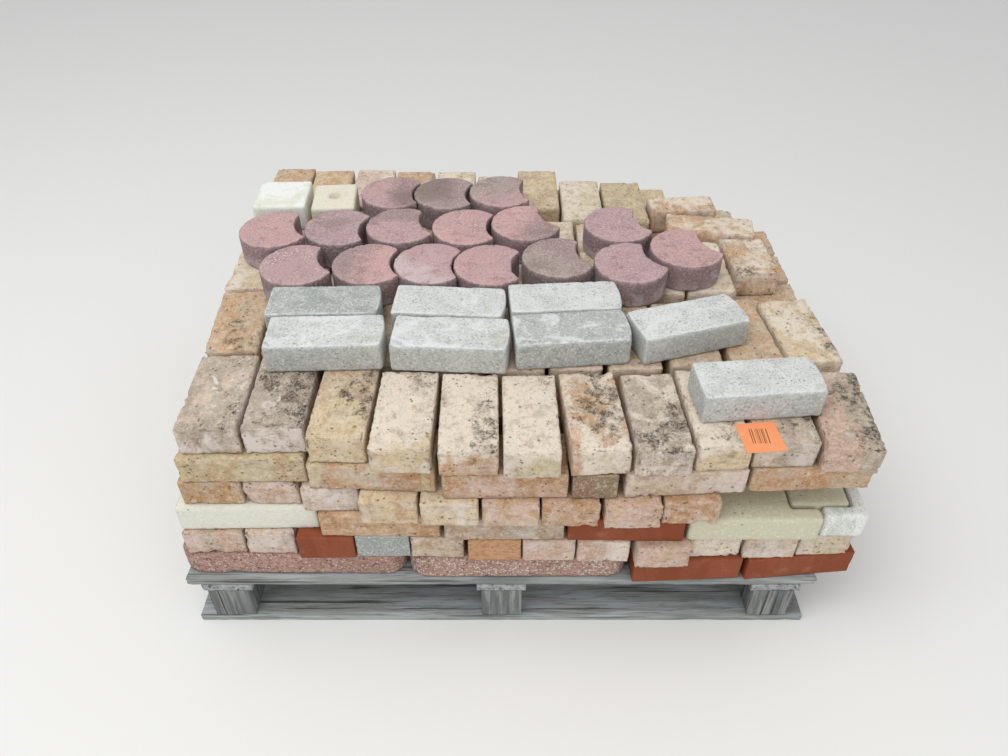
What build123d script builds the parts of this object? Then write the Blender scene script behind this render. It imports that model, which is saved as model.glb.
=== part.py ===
from build123d import *
import math
import os
from dataclasses import dataclass
from typing import Callable

# A pallet loaded with reclaimed bricks in six courses, with paving stones on top.
# Millimetres. X runs along the front of the pallet, Y away from the front, Z up.
# The origin is on the floor, under the middle of the pallet.

# Pallet: nine blocks between bottom boards and stringer boards, then the deck
pallet_length = 1219.0
pallet_depth = 1016.0
bottom_board_thickness = 18.0
block_height = 84.0
block_width = 81.0
block_depth = 138.0
stringer_thickness = 20.0
stringer_width = 98.0
stringer_inset = 25.5
deck_board_thickness = 18.0
deck_board_width = 98.0
least_deck_gap = 45.0

# Bricks: the header courses show ends, the stretcher courses show long sides
course_height = 60.0
header_length = 200.0
header_width = 101.0
stretcher_length = 218.0
stretcher_width = 102.0
half_brick_length = 80.0
smooth_brick_length = 210.0
smooth_brick_width = 100.0
brick_arris = 3.5
tight_joint = 4.0
loose_joint = 5.5
shortest_cut = 55.0

# Slabs and firebricks that are built into the lower courses
slab_length = 421.0
slab_depth = header_length
slab_arris = 7.0
slab_corner_cut = 24.0
white_firebrick_length = 255.0
firebrick_length = 238.0
firebrick_width = 114.0
firebrick_rebate_length = 54.0
firebrick_rebate_depth = 86.0
corner_block_length = 78.0
corner_block_depth = 92.0
corner_block_wall = 23.0

# Layer on top: crescent pavers, grey pavers, two part bricks and a paper tag
paver_height = 60.0
paver_arris = 4.0
crescent_diameter = 152.0
crescent_waist = 117.5
crescent_bite_radius = 79.0
crescent_gap = 2.0
grey_paver_length = 215.0
grey_paver_width = 95.0
grey_paver_bulge = 6.0
grey_paver_gap = 1.0
white_part_brick_length = 118.0
white_part_brick_width = 124.0
cream_part_brick_length = 97.0
cream_part_brick_width = 116.0
dimple_radius = 12.0
dimple_depth = 6.0
tag_length = 67.0
tag_drop = 68.0
tag_thickness = 0.6

# How far each course stands in from the left edge of the pallet and out past the right one
left_inset = [-4.0, 15.0, 17.0, 34.0, 46.0, 52.0]
right_overhang = [62.0, 43.0, 51.0, 1.0, 32.0, 34.0]
front_overhang = 7.0
back_overhang = -7.0
front_line = -pallet_depth / 2
back_line = pallet_depth / 2 + back_overhang
missing_corner_length = 218.0
missing_corner_step = 96.0
missing_back_bricks = 80.0
set_back_gap = 8.0
open_gap = 92.0
part_brick_length = 143.0
narrow_brick_width = 82.0

crescent_pitch = crescent_diameter + crescent_gap
front_crescent_node = "crescent_pavers_front_row"
grey_pair_pitch = grey_paver_length + 13
single_paver_x = 336.0
single_paver_front = front_line + 57
single_paver_turn = 5.0

# Centres of the crescents in pitches from the middle of the pallet, and their turns in degrees
crescent_places = {
    "crescent_pavers_back_row": [(-1.611, 1.678, -1), (-0.818, 1.645, -1), (0.005, 1.706, 7)],
    "crescent_pavers_middle_row": [(-3.166, 0.592, 17), (-2.269, 0.647, -3),
                                   (-1.415, 0.696, 16), (-0.487, 0.664, 1),
                                   (0.343, 0.766, 27)],
    "crescent_pavers_front_row": [(-2.675, -0.311, 20), (-1.735, -0.287, 5),
                                  (-0.926, -0.276, -3), (-0.140, -0.307, -2),
                                  (0.760, -0.138, 15)],
    "crescent_pavers_right": [(1.653, 0.736, 17), (1.707, -0.261, 25), (2.499, 0.100, 24)],
}

pallet_height = bottom_board_thickness + block_height + stringer_thickness + deck_board_thickness
stack_top = pallet_height + 6 * course_height
nodes = {}


@dataclass
class Piece:
    """One laid piece: its size across and deep, its centre and its turn about Z."""
    node: str
    across: float
    deep: float
    x: float = 0.0
    y: float = 0.0
    yaw: float = 0.0
    shape: Callable = None

    def half(self, along, aside):
        turn = math.radians(self.yaw)
        return (along * math.cos(turn) + aside * abs(math.sin(turn))) / 2

    @property
    def left(self):
        return self.x - self.half(self.across, self.deep)

    @property
    def right(self):
        return self.x + self.half(self.across, self.deep)

    @property
    def front(self):
        return self.y - self.half(self.deep, self.across)

    @property
    def back(self):
        return self.y + self.half(self.deep, self.across)

    def side_at(self, y, side):
        """X of the left (-1) or right (+1) side where it crosses the line y."""
        turn = math.radians(self.yaw)
        return self.x + side * self.across / (2 * math.cos(turn)) - (y - self.y) * math.tan(turn)


def keep(node, shape):
    """Add a solid to a node."""
    nodes.setdefault(node, []).append(shape)


def back_of(row, x0, x1):
    """The line behind those pieces of a row that reach between x0 and x1."""
    ends = [piece.back for piece in row if piece.left < x1 and piece.right > x0]
    return max(ends, default=front_line)


def front_of(row, x0, x1):
    """The line in front of those pieces of a row that reach between x0 and x1."""
    ends = [piece.front for piece in row if piece.left < x1 and piece.right > x0]
    return min(ends, default=back_line)


def lay_row(specs, left, joint, front=None, back=None):
    """Lay pieces from the left, each a joint from the last, with front or back ends on a line."""
    row = []
    for node, across, deep, yaw, set_back in specs:
        piece = Piece(node, across, deep, yaw=yaw)
        piece.y = (back - deep / 2 if front is None else front + deep / 2) + set_back
        if not row:
            piece.x = left + piece.half(across, deep)
        else:
            last = row[-1]
            ends = (max(last.front, piece.front), min(last.back, piece.back))
            piece.x = joint + max(last.side_at(y, 1) - piece.side_at(y, -1) for y in ends)
        row.append(piece)
    return row


def fit_row(specs, left, right, joint, front=None, back=None, copies=True):
    """A row as wide as its course: with copies, it first gains or loses pieces."""
    room = right - left
    if copies:
        width = lay_row(specs, left, joint, front, back)[-1].right - left
        count = max(round(len(specs) * (room + joint) / (width + joint)), 1)
        specs = [specs[number % len(specs)] for number in range(count)]
    width = lay_row(specs, left, joint, front, back)[-1].right - left
    swell = (room - width) / len(specs)
    specs = [(node, across + swell, deep, yaw, set_back)
             for node, across, deep, yaw, set_back in specs]
    return lay_row(specs, left, joint, front, back)


def share_out(start, end, size, joint):
    """Centres and lengths of whole pieces from start to end, with a cut one in what is left."""
    room = end - start
    count = max(int((room + joint) // (size + joint)), 0)
    lengths = [size] * count
    rest = room - count * (size + joint)
    if rest >= shortest_cut:
        lengths.append(rest)
    spare = room - sum(lengths)
    gap = spare / max(len(lengths) - 1, 1)
    at = start if len(lengths) > 1 else start + spare / 2
    places = []
    for length in lengths:
        places.append((at + length / 2, length))
        at += length + gap
    return places


def fill_row(node, size, deep, left, right, y, joint):
    """A straight row of like pieces."""
    return [Piece(node, length, deep, x, y) for x, length in share_out(left, right, size, joint)]


def fill_column(node, across, size, x, front_row, back_row, joint):
    """A column of like pieces between a front row and a back row."""
    x0, x1 = x - across / 2, x + across / 2
    start = back_of(front_row, x0, x1) + joint
    end = front_of(back_row, x0, x1) - joint
    return [Piece(node, across, length, x, y) for y, length in share_out(start, end, size, joint)]


def block_solid(length, depth, height, arris):
    """A rectangular block with worn arrises, standing on z = 0."""
    block = Pos(0, 0, height / 2) * Box(length, depth, height)
    return chamfer(block.edges(), arris)


def slab_with_cut_corners(length, depth):
    """A slab whose upright corners are cut off."""
    block = Pos(0, 0, course_height / 2) * Box(length, depth, course_height)
    block = chamfer(block.edges().filter_by(Axis.Z), slab_corner_cut)
    return chamfer(block.edges(), slab_arris)


def firebrick_with_rebate(length, depth):
    """A firebrick with its back right corner cut out."""
    block = block_solid(length, depth, course_height, brick_arris)
    cut_x = (length - firebrick_rebate_length) / 2
    cut_y = (depth - firebrick_rebate_depth) / 2
    cut = Box(firebrick_rebate_length, firebrick_rebate_depth, 3 * course_height)
    return block - Pos(cut_x, cut_y, 0) * cut


def corner_block(length, depth):
    """An L-shaped corner block: a front wall and a right wall."""
    block = block_solid(length, depth, course_height, brick_arris)
    inner = Box(length, depth, 3 * course_height)
    return block - Pos(-corner_block_wall, corner_block_wall, 0) * inner


def crescent_paver():
    """A round paver with a bite out of its right side, in which the next one nests."""
    radius = crescent_diameter / 2
    bite_x = crescent_waist - radius + crescent_bite_radius
    outline = Circle(radius) - Pos(bite_x, 0) * Circle(crescent_bite_radius)
    return extrude(outline, paver_height)


def bulged_paver():
    """A grey paver whose right end bulges out in an arc, with its front left corner at X = Y = 0."""
    straight = grey_paver_length - grey_paver_bulge
    outline = Polyline((straight, grey_paver_width), (0, grey_paver_width), (0, 0), (straight, 0))
    outline += ThreePointArc((straight, 0), (grey_paver_length, grey_paver_width / 2),
                             (straight, grey_paver_width))
    paver = extrude(make_face(outline), paver_height)
    return chamfer(paver.faces().sort_by(Axis.Z)[-1].edges(), paver_arris)


def dimpled_part_brick():
    """Half a cream firebrick with a shallow round dimple in its top."""
    block = block_solid(cream_part_brick_length, cream_part_brick_width, course_height, brick_arris)
    return block - Pos(0, 0, course_height) * Cylinder(dimple_radius, 2 * dimple_depth)


def place_course(course, pieces):
    """Turn laid pieces into solids at the height of their course, counted from 0."""
    for piece in pieces:
        if piece.shape:
            shape = piece.shape(piece.across, piece.deep)
        else:
            arris = slab_arris if "slab" in piece.node else brick_arris
            shape = block_solid(piece.across, piece.deep, course_height, arris)
        z = pallet_height + course * course_height
        keep(piece.node, Pos(piece.x, piece.y, z) * Rot(0, 0, piece.yaw) * shape)


def place_core(course, left_column, right_column, front_row, back_row):
    """One plain block for the bricks that no side of the stack shows."""
    x0 = max(piece.right for piece in left_column) + tight_joint
    x1 = min(piece.left for piece in right_column) - tight_joint
    y0 = back_of(front_row, x0, x1) + tight_joint
    y1 = front_of(back_row, x0, x1) - tight_joint
    z = pallet_height + (course + 0.5) * course_height
    core = Pos((x0 + x1) / 2, (y0 + y1) / 2, z) * Box(x1 - x0, y1 - y0, course_height)
    keep(f"course_{course + 1}_core", core)


def course_edges(course):
    """Left and right ends of a course."""
    return left_inset[course] - pallet_length / 2, pallet_length / 2 + right_overhang[course]


def ring_course(course, front_row, node, across, deep, back_ends):
    """Lay the back rows, both side columns and the core of a course behind its front row."""
    left, right = course_edges(course)
    back_row = []
    for step, end in enumerate(back_ends):
        y = back_line - deep / 2 - step * (deep + tight_joint)
        back_row += fill_row(node, across, deep, left, end, y, tight_joint)
    left_x = left + across / 2
    left_column = fill_column(node, across, deep, left_x, front_row, back_row, tight_joint)
    # The right column stops level with the foremost back row, where a corner is missing
    right_x = right - across / 2
    stop = Piece(node, across, deep, right_x, y)
    right_column = fill_column(node, across, deep, right_x, front_row, [stop], tight_joint)
    place_core(course, left_column, right_column, front_row, back_row)
    place_course(course, front_row + back_row + left_column + right_column)


def pallet():
    """Bottom boards, nine blocks, three stringer boards and the deck."""
    block_x = pallet_length / 2 - stringer_inset - stringer_width / 2
    block_y = (pallet_depth - block_depth) / 2
    block_z = bottom_board_thickness + block_height / 2
    stringer_z = bottom_board_thickness + block_height + stringer_thickness / 2
    rows = {"front": -block_y, "middle": 0.0, "back": block_y}
    columns = {"left": -block_x, "middle": 0.0, "right": block_x}
    for row, y in rows.items():
        board = Box(pallet_length, block_depth, bottom_board_thickness)
        keep(f"bottom_board_{row}", Pos(0, y, bottom_board_thickness / 2) * board)
        for column, x in columns.items():
            block = Box(block_width, block_depth, block_height)
            keep(f"pallet_block_{row}_{column}", Pos(x, y, block_z) * block)
    for column, x in columns.items():
        board = Box(stringer_width, pallet_depth, stringer_thickness)
        keep(f"stringer_board_{column}", Pos(x, 0, stringer_z) * board)
    count = int((pallet_depth + least_deck_gap) // (deck_board_width + least_deck_gap))
    pitch = (pallet_depth - deck_board_width) / (count - 1)
    for number in range(count):
        y = (deck_board_width - pallet_depth) / 2 + number * pitch
        board = Box(pallet_length, deck_board_width, deck_board_thickness)
        keep(f"deck_board_{number + 1}", Pos(0, y, pallet_height - deck_board_thickness / 2) * board)


def course_1():
    """Two aggregate slabs and two smooth bricks in front, slabs along the other sides."""
    slab = "course_1_aggregate_slabs"
    smooth = "course_1_smooth_bricks"
    front_row = fit_row([
        (slab, slab_length + 12, slab_depth, -0.4, 12),
        (slab, slab_length, slab_depth, 0.3, 4),
        (smooth, smooth_brick_length, smooth_brick_width, 2.8, -2),
        (smooth, smooth_brick_length, smooth_brick_width, 5.5, 9),
    ], *course_edges(0), tight_joint, front=front_line, copies=False)
    for piece in front_row[:2]:
        piece.shape = slab_with_cut_corners
    ring_course(0, front_row, slab, slab_depth, slab_depth, [course_edges(0)[1]])


def course_2():
    """Headers, with one smooth brick, one grey paver and one striated brick among them."""
    buff = "course_2_bricks"
    names = [buff, buff, "course_2_smooth_brick", "course_2_grey_paver", buff,
             "course_2_striated_brick", buff, buff, buff, buff, buff, buff]
    swells = [11, -7, 4, -1, -1, -2, -2, -3, 0, -3, -2, -1]
    turns = [1.0, -0.8, 0.5, 0.0, -1.0, 0.6, 0.4, -0.7, 1.5, 1.0, 1.5, 2.0]
    set_backs = [16, 15, 5, 9, 6, 0, -2, -4, -18, 8, 4, 12]
    specs = [(name, header_width + swell, header_length, turn, back)
             for name, swell, turn, back in zip(names, swells, turns, set_backs)]
    front_row = fit_row(specs, *course_edges(1), tight_joint / 2, front=front_line)
    ring_course(1, front_row, buff, header_width, header_length, [course_edges(1)[1]])


def course_3():
    """Stretchers between a white firebrick and the cream firebricks with their corner block."""
    buff = "course_3_bricks"
    cream = "course_3_cream_firebricks"
    front_row = fit_row([
        ("course_3_white_firebrick", white_firebrick_length, firebrick_width, 1.0, 26),
        (buff, stretcher_length, stretcher_width, -0.6, 8),
        (buff, stretcher_length, stretcher_width, 0.4, 0),
        ("course_3_smooth_brick", smooth_brick_length, smooth_brick_width, -0.8, -1),
        (cream, firebrick_length, firebrick_width, 0.0, -1),
        ("course_3_corner_block", corner_block_length, corner_block_depth, 0.0, 8),
    ], *course_edges(2), loose_joint, front=front_line, copies=False)
    front_brick, corner = front_row[-2:]
    front_brick.shape = firebrick_with_rebate
    corner.shape = corner_block
    ring_course(2, front_row, buff, stretcher_length, stretcher_width, [course_edges(2)[1]])
    # The second cream piece fills the rebate, from there to the wall of the corner block
    start = front_brick.right - firebrick_rebate_length + tight_joint
    end = corner.right - corner_block_wall - tight_joint
    near = max(front_brick.back - firebrick_rebate_depth, corner.front + corner_block_wall)
    far = min(front_brick.back, corner.back)
    filler = Piece(cream, end - start, far - near - tight_joint, (start + end) / 2,
                   (near + far + tight_joint) / 2)
    place_course(2, [filler])


def course_4():
    """Headers, then one stretcher set back so that the firebricks below show their tops."""
    buff = "course_4_bricks"
    swells = [10, 0, 3, 2, 2, 1, 2, 0, 0]
    turns = [0.5, -0.5, 1.0, -0.6, 0.0, 0.8, -0.5, 1.0, -0.5]
    set_backs = [34, 34, 18, -12, -16, -18, -18, -22, -12]
    specs = [(buff, header_width + swell, header_length, turn, back)
             for swell, turn, back in zip(swells, turns, set_backs)]
    left, right = course_edges(3)
    end = right - stretcher_length - set_back_gap
    front_row = fit_row(specs, left, end, tight_joint / 2, front=front_line)
    y = front_line + header_length - stretcher_width / 2
    front_row.append(Piece(buff, stretcher_length, stretcher_width, right - stretcher_length / 2, y))
    ring_course(3, front_row, buff, header_width, header_length, [course_edges(3)[1]])


def course_5():
    """Stretchers with one half brick, and the back right corner left out."""
    buff = "course_5_bricks"
    lengths = [stretcher_length] * 3 + [half_brick_length] + [stretcher_length] * 2
    swells = [7, 4, 0, 0, -5, -4]
    turns = [0.4, -2.8, 0.8, 0.0, 3.5, 2.5]
    set_backs = [33, 14, -4, -5, 3, 15]
    specs = [(buff, length + swell, stretcher_width, turn, back)
             for length, swell, turn, back in zip(lengths, swells, turns, set_backs)]
    left, right = course_edges(4)
    front_row = fit_row(specs, left, right, loose_joint, front=front_line, copies=False)
    gap = missing_corner_length
    ring_course(4, front_row, buff, stretcher_length, stretcher_width,
                [right - gap, right - gap + missing_corner_step])


def course_6():
    """The top course: every brick is there, apart from the back right corner."""
    buff = "course_6_bricks"
    left, right = course_edges(5)
    front = front_line - front_overhang

    # Front row of eleven headers; reclaimed bricks differ a little in width
    swells = [6, 6, 0, 3, 1, -4, 0, -5, -8, 7, -5]
    turns = [1.5, 1.3, -1.5, -1.0, 0.7, 0.9, 4.0, 2.8, 2.6, 0.8, -3.5]
    set_backs = [51, 53, 30, 5, 0, -6, 2, -2, 11, 20, 5]
    specs = [(buff, header_width + swell, header_length, turn, back)
             for swell, turn, back in zip(swells, turns, set_backs)]
    first_row = fit_row(specs, left, right, loose_joint, front=front)

    # Second row, each brick behind its neighbours of the first
    turns = [4.0, 1.5, 0.0, 0.5, -0.5, 0.5, 0.0, 1.0, 3.5, 6.0, 5.0]
    specs = [(buff, header_width, header_length, turn, 0) for turn in turns]
    line = front + header_length
    second_row = fit_row(specs, left - 14, right - 9, loose_joint, front=line)
    for piece in second_row:
        piece.y += back_of(first_row, piece.left, piece.right) + tight_joint - piece.front

    # Back row, with its far ends uneven
    set_backs = [-2, -13, -8, -19, -19, -45, -13, -68, -78]
    turns = [0.0, 1.0, -0.5, 0.5, 0.0, -0.6, 0.5, 0.0, 1.0]
    specs = [(buff, header_width - 3, header_length, turn, back)
             for turn, back in zip(turns, set_backs)]
    back_end = right - missing_corner_length - missing_back_bricks
    back_row = fit_row(specs, left - 20, back_end, tight_joint, back=back_line)

    # Part bricks beside the missing corner: one end on, then two laid lengthwise
    edge = second_row[-1]
    end_on = Piece(buff, header_width - 4, part_brick_length, yaw=3.5)
    lengthwise = Piece(buff, header_length, narrow_brick_width, yaw=-7.5)
    last = Piece(buff, part_brick_length + 15, narrow_brick_width - 10, yaw=4.0)
    end_on.x = edge.right - end_on.half(end_on.across, end_on.deep) - 40
    end_on.y = edge.back + open_gap + end_on.deep / 2
    lengthwise.x = end_on.right - lengthwise.half(lengthwise.across, lengthwise.deep) - 8
    lengthwise.y = end_on.back + tight_joint + lengthwise.half(lengthwise.deep, lengthwise.across)
    last.x = back_row[-1].right + loose_joint + last.half(last.across, last.deep)
    last.y = lengthwise.back + tight_joint + last.half(last.deep, last.across)
    corner = [end_on, lengthwise, last]

    # The rest of the course fills in column by column
    start = left - 18
    end = end_on.left - tight_joint
    columns = share_out(start, end, header_width, tight_joint)
    field = []
    for x, across in columns:
        field += fill_column(buff, across, header_length, x, second_row, back_row + corner,
                             tight_joint)
    place_course(5, first_row + second_row + back_row + corner + field)


def crescents():
    """Sixteen crescent pavers in four groups; each turn points the bite."""
    for node, places in crescent_places.items():
        for across, away, turn in places:
            place = Pos(across * crescent_pitch, away * crescent_pitch, stack_top)
            keep(node, place * Rot(0, 0, turn) * crescent_paver())


def grey_pavers():
    """Three pairs of grey pavers with bulged ends, one behind the other, and two single ones."""
    paver = bulged_paver()
    front_crescents = min(away for across, away, turn in crescent_places[front_crescent_node])
    line = front_crescents * crescent_pitch - crescent_diameter / 2 - grey_paver_gap
    row = grey_paver_width + grey_paver_gap
    # Front left corners: in pitches across, then past the line of their row; and the turns
    pairs = {
        "left": [(-1.943, 0.0, 1.5), (-1.864, -1.5, 2.0)],
        "middle": [(-0.915, 8.0, -3.8), (-0.882, 4.0, -3.2)],
        "right": [(0.079, 8.0, 3.8), (0.114, 4.0, 5.0)],
    }
    for side, corners in pairs.items():
        for number, (x, y, turn) in enumerate(corners, start=1):
            place = Pos(x * grey_pair_pitch, line - number * row + y, stack_top)
            keep(f"grey_paver_pair_{side}", place * Rot(0, 0, turn) * paver)
    back_x = pairs["right"][1][0] * grey_pair_pitch + grey_paver_length + 18.5
    back = Pos(back_x, line - 2 * row + 18, stack_top) * Rot(0, 0, 17)
    keep("grey_paver_single_back", back * paver)
    front = Pos(single_paver_x, single_paver_front, stack_top) * Rot(0, 0, single_paver_turn)
    keep("grey_paver_single_front", front * paver)


def part_bricks():
    """Two half firebricks at the back left of the top layer."""
    back_row = crescent_places["crescent_pavers_back_row"]
    middle_row = crescent_places["crescent_pavers_middle_row"]
    right = back_row[0][0] * crescent_pitch - crescent_diameter / 2 - crescent_gap
    front = middle_row[1][1] * crescent_pitch + crescent_diameter / 2 + crescent_gap
    cream_x = right - cream_part_brick_length / 2 - 8
    white_x = cream_x - (cream_part_brick_length + white_part_brick_length) / 2 - 13
    cream = Pos(cream_x, front + cream_part_brick_width / 2 + 2, stack_top) * Rot(0, 0, 4)
    white = Pos(white_x, front + white_part_brick_width / 2 + 8, stack_top) * Rot(0, 0, 2)
    shape = block_solid(white_part_brick_length, white_part_brick_width, course_height, brick_arris)
    keep("white_half_firebrick", white * shape)
    keep("cream_half_firebrick", cream * dimpled_part_brick())


def paper_tag():
    """A paper tag that lies on the front bricks, with its edge at the single front paver."""
    tag = Box(tag_length, tag_drop, tag_thickness)
    x = single_paver_x + 94
    y = single_paver_front - tag_drop / 2 + 4
    place = Pos(x, y, stack_top + tag_thickness / 2) * Rot(0, 0, single_paver_turn + 0.5)
    keep("paper_tag", place * tag)


pallet()
course_1()
course_2()
course_3()
course_4()
course_5()
course_6()
crescents()
grey_pavers()
part_bricks()
paper_tag()

os.makedirs("parts", exist_ok=True)
for node, solids in nodes.items():
    export_step(Compound(children=solids) if len(solids) > 1 else solids[0], f"parts/{node}.step")
print(len(nodes), "nodes,", sum(len(solids) for solids in nodes.values()), "pieces")
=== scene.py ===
"""A pallet of reclaimed bricks with paving stones on top, dressed around its CAD solids."""
import itertools
import math
import random

import bmesh
import bpy
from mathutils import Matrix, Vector


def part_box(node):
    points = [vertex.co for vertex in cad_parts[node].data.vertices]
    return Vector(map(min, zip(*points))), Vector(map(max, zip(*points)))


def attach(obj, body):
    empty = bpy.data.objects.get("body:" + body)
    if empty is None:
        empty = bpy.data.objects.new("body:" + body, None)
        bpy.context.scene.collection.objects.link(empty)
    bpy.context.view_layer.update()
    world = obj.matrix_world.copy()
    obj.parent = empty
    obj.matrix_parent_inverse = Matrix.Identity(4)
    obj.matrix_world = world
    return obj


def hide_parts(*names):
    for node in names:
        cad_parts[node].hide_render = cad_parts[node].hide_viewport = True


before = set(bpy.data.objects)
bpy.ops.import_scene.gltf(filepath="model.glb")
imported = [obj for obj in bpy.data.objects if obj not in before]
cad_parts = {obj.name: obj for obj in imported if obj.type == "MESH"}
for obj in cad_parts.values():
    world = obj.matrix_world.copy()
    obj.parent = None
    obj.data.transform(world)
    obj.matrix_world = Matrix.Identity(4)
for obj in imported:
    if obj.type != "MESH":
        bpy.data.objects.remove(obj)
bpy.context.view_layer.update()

# Sizes in metres
front_row_line = -0.43
second_row_line = -0.20
back_row_line = 0.20
crescent_voxel = 0.0038
paver_bulge = 0.006
slab_corner = 0.036
chip_ripple = 0.0014
floor_reach = 14.0
print_across = (0.020, 0.050)
print_along = (0.022, 0.056)
print_blur = 0.001
tiny = 1e-6

# How far apart two pieces take their grain, for seeds from 0 to 1
seed_stride = (13.7, 5.1, 9.3)
grain_spread = 7.0

# Grid lines along, across and up a piece in front, and the share that others get
brick_grid = (42, 20, 12)
slab_grid = (84, 30, 11)
board_grid = (64, 10, 4)
block_grid = (10, 12, 10)
far_share = 0.62
arris_crowding = 0.25

# Where a point is on an arris: shares of its radius, or metres that a blur moves it
arris_band = (1.02, 1.22)
arris_shift = (0.0005, 0.0018)
arris_blur = 8


def tone(red, green, blue):
    """A linear colour from the three numbers, 0 to 255, that a paint chart gives."""
    return tuple(((part / 255 + 0.055) / 1.055) ** 2.4 for part in (red, green, blue)) + (1.0,)


# Buff bricks
cream = tone(236, 222, 202)
yellow = tone(220, 198, 160)
pink = tone(214, 190, 170)
tan = tone(202, 178, 148)
orange = tone(208, 170, 132)
amber = tone(190, 144, 98)
ochre = tone(194, 164, 122)
rose = tone(208, 174, 154)
lilac = tone(204, 186, 174)
olive = tone(204, 190, 148)
lime = tone(218, 206, 174)
moss_brown = tone(142, 126, 94)
brown = tone(184, 156, 128)
grey = tone(184, 170, 152)

# What lies on them or shows through
lime_white = tone(226, 216, 200)
mortar_wash_and_light = tone(226, 213, 206)
fresh_break = tone(212, 166, 142)
soot_black = tone(58, 51, 46)
soot_haze = tone(126, 112, 94)
clay_dark = tone(142, 114, 90)
grime_brown = tone(158, 138, 116)
pit_shade = tone(104, 84, 66)

# Other bricks
terracotta = tone(136, 70, 42)
terracotta_dark = tone(112, 58, 38)
terracotta_pale = tone(144, 78, 52)
terracotta_dust = tone(184, 140, 120)
combed_orange = tone(190, 138, 100)
combed_pale = tone(206, 168, 130)
combed_dark = tone(142, 96, 66)
fire_white = tone(226, 226, 211)
fire_cream = tone(206, 203, 176)
fire_yellow = tone(229, 221, 203)
fire_shade = tone(200, 194, 166)
fire_soil = tone(196, 190, 168)
fire_tan_spot = tone(168, 150, 112)
fire_hole_shade = tone(110, 104, 84)
chalk_white = tone(240, 241, 236)
block_white = tone(212, 217, 208)
block_soil = tone(186, 184, 164)
block_grit = tone(126, 130, 120)

# Concrete
paver_pale = tone(222, 222, 218)
paver_light = tone(208, 209, 205)
paver_grey = tone(188, 189, 184)
paver_dark = tone(128, 130, 126)
paver_cloud = tone(166, 170, 166)
paver_tan_patch = tone(166, 166, 138)
paver_pore_shade = tone(92, 92, 88)
cement_white = tone(236, 238, 236)
dusty_rose = tone(191, 158, 158)
dusty_pink = tone(204, 164, 161)
mauve = tone(184, 156, 160)
dusty_brown = tone(164, 140, 138)
dusty_olive = tone(170, 156, 148)
rose_dust = tone(206, 186, 186)
crescent_dark = tone(128, 102, 102)
crescent_fleck = tone(228, 206, 192)
shaded_crescent_side = tone(118, 108, 112)
shaded_crescent_side_warm = tone(142, 120, 124)
crescent_foot = tone(196, 188, 194)
crescent_shade = tone(122, 104, 98)
slab_pink = tone(192, 154, 142)
slab_brown = tone(180, 146, 130)
pebble_white = tone(226, 212, 202)
pebble_red = tone(150, 106, 96)
pebble_dark = tone(104, 80, 72)
slab_soil = tone(142, 118, 102)

# Pallet, tag and floor
wood_pale = tone(176, 183, 184)
wood_grey = tone(150, 152, 148)
wood_brown = tone(108, 112, 112)
wood_dark = tone(92, 88, 80)
wood_check_shade = tone(56, 52, 47)
tag_orange = tone(247, 156, 106)
tag_faded = tone(247, 172, 128)
tag_dark = tone(70, 50, 44)
floor_pale = tone(238, 237, 233)
sky_tone = (0.95, 0.97, 1.0, 1.0)
sky_strength = 0.62


class Graph:
    """Adds nodes to a tree. A value is a number, a vector, a colour or another node's output."""

    def __init__(self, tree):
        self.tree = tree

    def put(self, socket, value):
        if isinstance(value, bpy.types.NodeSocket):
            self.tree.links.new(value, socket)
        elif value is not None:
            socket.default_value = value

    def add(self, kind, values, output=0, **settings):
        node = self.tree.nodes.new(kind)
        for name, value in settings.items():
            setattr(node, name, value)
        for key, value in values.items():
            self.put(node.inputs[key], value)
        return node.outputs[output]

    def math(self, operation, first, second=None):
        return self.add("ShaderNodeMath", {0: first, 1: second}, operation=operation)

    def plus(self, first, second):
        return self.math("ADD", first, second)

    def minus(self, first, second):
        return self.math("SUBTRACT", first, second)

    def times(self, first, *others):
        for other in others:
            first = self.math("MULTIPLY", first, other)
        return first

    def vector(self, operation, first, second=None, output=0):
        values = {0: first, 1: second}
        return self.add("ShaderNodeVectorMath", values, output, operation=operation)

    def scaled(self, vector, factor):
        return self.add("ShaderNodeVectorMath", {0: vector, "Scale": factor}, operation="SCALE")

    def stretched(self, vector, factors):
        return self.vector("MULTIPLY", vector, factors)

    def length(self, vector):
        return self.vector("LENGTH", vector, output="Value")

    def away(self, vector, offset):
        """The same place moved along, so that one pattern doesn't follow another."""
        return self.vector("ADD", vector, offset)

    def clamped(self, vector, room):
        """A vector kept between -room and room."""
        return self.vector("MINIMUM", self.vector("MAXIMUM", vector, self.scaled(room, -1)), room)

    def parts(self, vector):
        node = self.add("ShaderNodeSeparateXYZ", {0: vector}).node
        return node.outputs["X"], node.outputs["Y"], node.outputs["Z"]

    def joined(self, x, y, z):
        return self.add("ShaderNodeCombineXYZ", {"X": x, "Y": y, "Z": z})

    def noise(self, at, scale, detail=2, roughness=0.55, distortion=0):
        values = {"Vector": at, "Scale": scale, "Detail": detail, "Roughness": roughness,
                  "Distortion": distortion}
        return self.add("ShaderNodeTexNoise", values)

    def cells(self, at, scale):
        """How far the nearest of many scattered points is."""
        return self.add("ShaderNodeTexVoronoi", {"Vector": at, "Scale": scale}, "Distance")

    def step(self, value, low, high, first=0, last=1):
        """A smooth step from first to last while the value goes from low to high."""
        values = {"Value": value, "From Min": low, "From Max": high, "To Min": first,
                  "To Max": last}
        return self.add("ShaderNodeMapRange", values, interpolation_type="SMOOTHSTEP")

    def blend(self, share, first, second):
        """A mix of two colours: share 0 is the first one."""
        node = self.tree.nodes.new("ShaderNodeMix")
        node.data_type = "RGBA"
        for key, value in (("Factor_Float", share), ("A_Color", first), ("B_Color", second)):
            self.put(next(s for s in node.inputs if s.identifier == key), value)
        return next(s for s in node.outputs if s.identifier == "Result_Color")


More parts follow.
